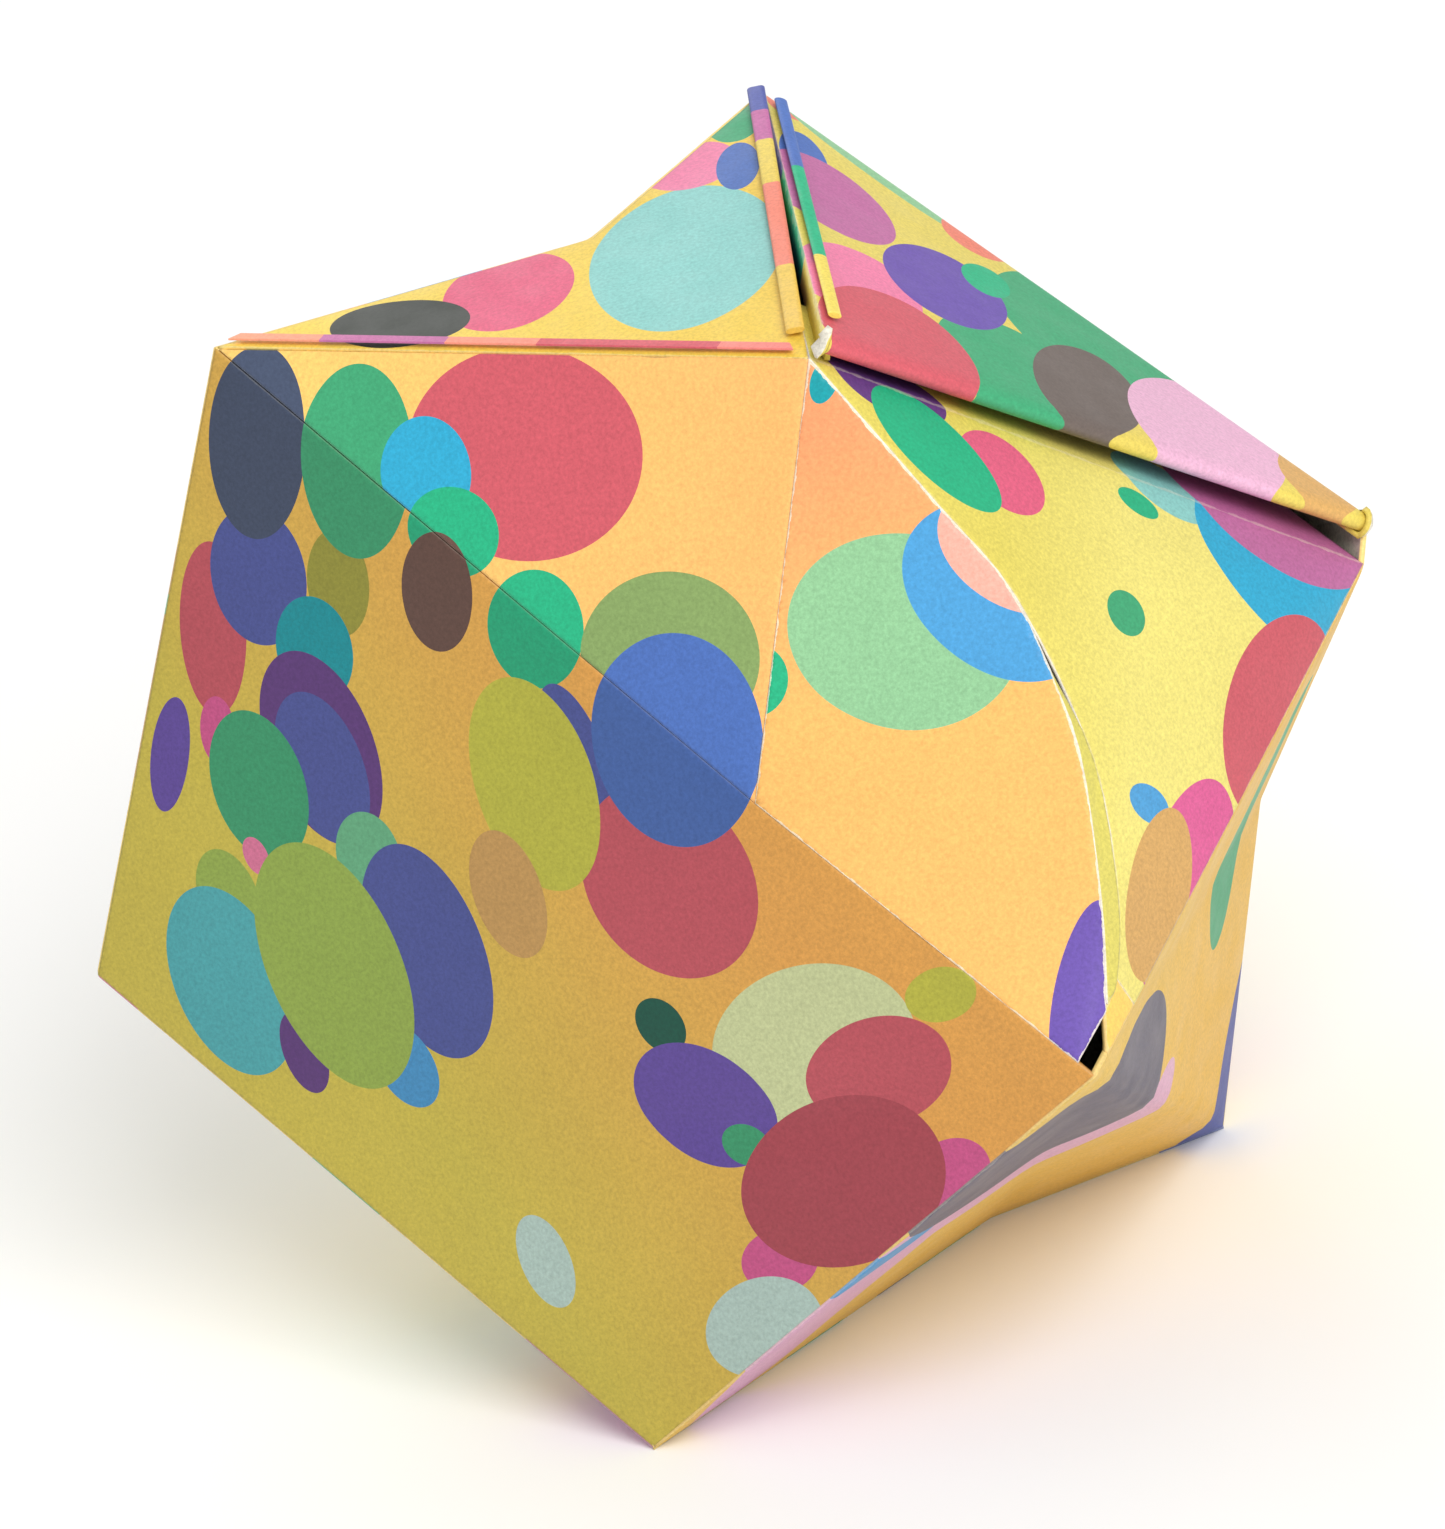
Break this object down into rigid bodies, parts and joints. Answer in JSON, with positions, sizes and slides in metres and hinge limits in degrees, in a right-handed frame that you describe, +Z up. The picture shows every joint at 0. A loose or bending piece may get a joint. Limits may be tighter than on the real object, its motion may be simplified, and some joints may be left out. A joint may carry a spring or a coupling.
{
  "type": "folded paper ball",
  "caption": "Hand-folded printed-paper ball with icosahedron-like corners, one pressed flat, pinched edges and flaps that lift on their creases.",
  "frame": {"origin": "the middle of the bottom panel, on the surface that the ball stands on", "axes": "+Z up; -Y towards the pressed front with its two flaps; +X towards the right shoulder corner"},
  "size_m": [0.0987, 0.0887, 0.0812],
  "materials": {
    "yellow_print": "coated craft paper printed with overlapping coloured ovals on yellow",
    "orange_print": "coated craft paper printed with overlapping coloured ovals on light orange",
    "lemon_print": "coated craft paper printed with overlapping coloured ovals on lemon yellow"
  },
  "bodies": {
    "root": {"front_lower_panel": "yellow_print", "side_edge_strip": "lemon_print", "right_panel": "lemon_print", "right_tuck_tab": "lemon_print", "corner_tab": "yellow_print", "left_fin": "yellow_print", "top_left_panel": "yellow_print", "top_edge_strip": "orange_print", "valley_back_panel": "yellow_print", "back_crown_panel": "yellow_print", "back_upper_panel": "yellow_print", "back_left_panel": "yellow_print", "left_hip_panel": "yellow_print", "back_lower_panel": "orange_print", "back_foot_panel": "yellow_print", "left_foot_panel": "yellow_print", "side_right_panel": "yellow_print", "corner_panel": "yellow_print", "bottom_panel": "yellow_print"},
    "crown_flap": {"crown_flap": "yellow_print", "crown_hem": "yellow_print", "right_fin": "yellow_print"},
    "left_flap": {"front_left_flap": "orange_print"},
    "right_flap": {"front_right_flap": "orange_print"}
  },
  "joints": [
    {"name": "crown_fold", "type": "hinge", "parent": "root", "child": "crown_flap", "pos_m": [0.04993, -0.00468, 0.04831], "axis": [-0.6285, 0.5327, 0.5667], "range_deg": [0, 65]},
    {"name": "left_flap_fold", "type": "hinge", "parent": "root", "child": "left_flap", "pos_m": [-0.02834, 0.00255, 0.07937], "axis": [0.5701, -0.5761, -0.5857], "range_deg": [0, 60]},
    {"name": "right_flap_fold", "type": "hinge", "parent": "root", "child": "right_flap", "pos_m": [0.00164, -0.02774, 0.04857], "axis": [0.5936, -0.5433, -0.5937], "range_deg": [0, 60]}
  ]
}
